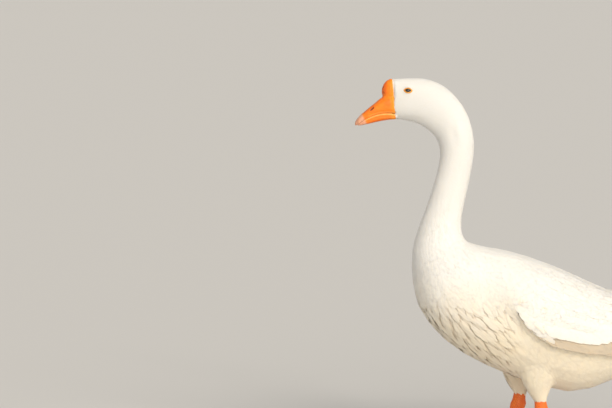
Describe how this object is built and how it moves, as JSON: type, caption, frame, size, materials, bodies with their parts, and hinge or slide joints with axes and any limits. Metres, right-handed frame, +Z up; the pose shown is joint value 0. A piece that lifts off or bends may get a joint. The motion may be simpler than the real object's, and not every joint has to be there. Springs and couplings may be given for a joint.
{
  "type": "domestic goose",
  "caption": "Still, life-size model of a white domestic goose standing in mid-step, with folded wings, a knobbed orange bill and webbed orange feet.",
  "frame": {"origin": "on the floor under the middle of the bird's length, midway between its two sides", "axes": "-X is the way the goose faces, +Z is up, and its left side is towards -Y"},
  "size_m": [0.635, 0.221, 0.6619],
  "materials": {
    "plumage": "matte",
    "bill_skin": "satin",
    "leg_skin": "matte",
    "claw": "satin",
    "eye": "gloss"
  },
  "bodies": {
    "root": {"head": "plumage", "knob": "bill_skin", "bill_upper": "bill_skin", "bill_lower": "bill_skin", "neck_upper": "plumage", "neck_middle": "plumage", "neck_lower": "plumage", "trunk": "plumage", "tail": "plumage", "wing_left": "plumage", "wing_right": "plumage", "eye_left": "eye", "eye_right": "eye", "thigh_left": "plumage", "shank_left": "leg_skin", "foot_left": "leg_skin", "claw_left_inner": "claw", "claw_left_middle": "claw", "claw_left_outer": "claw", "claw_left_hind": "claw", "thigh_right": "plumage", "shank_right": "leg_skin", "foot_right": "leg_skin", "claw_right_inner": "claw", "claw_right_middle": "claw", "claw_right_outer": "claw", "claw_right_hind": "claw"}
  },
  "joints": []
}
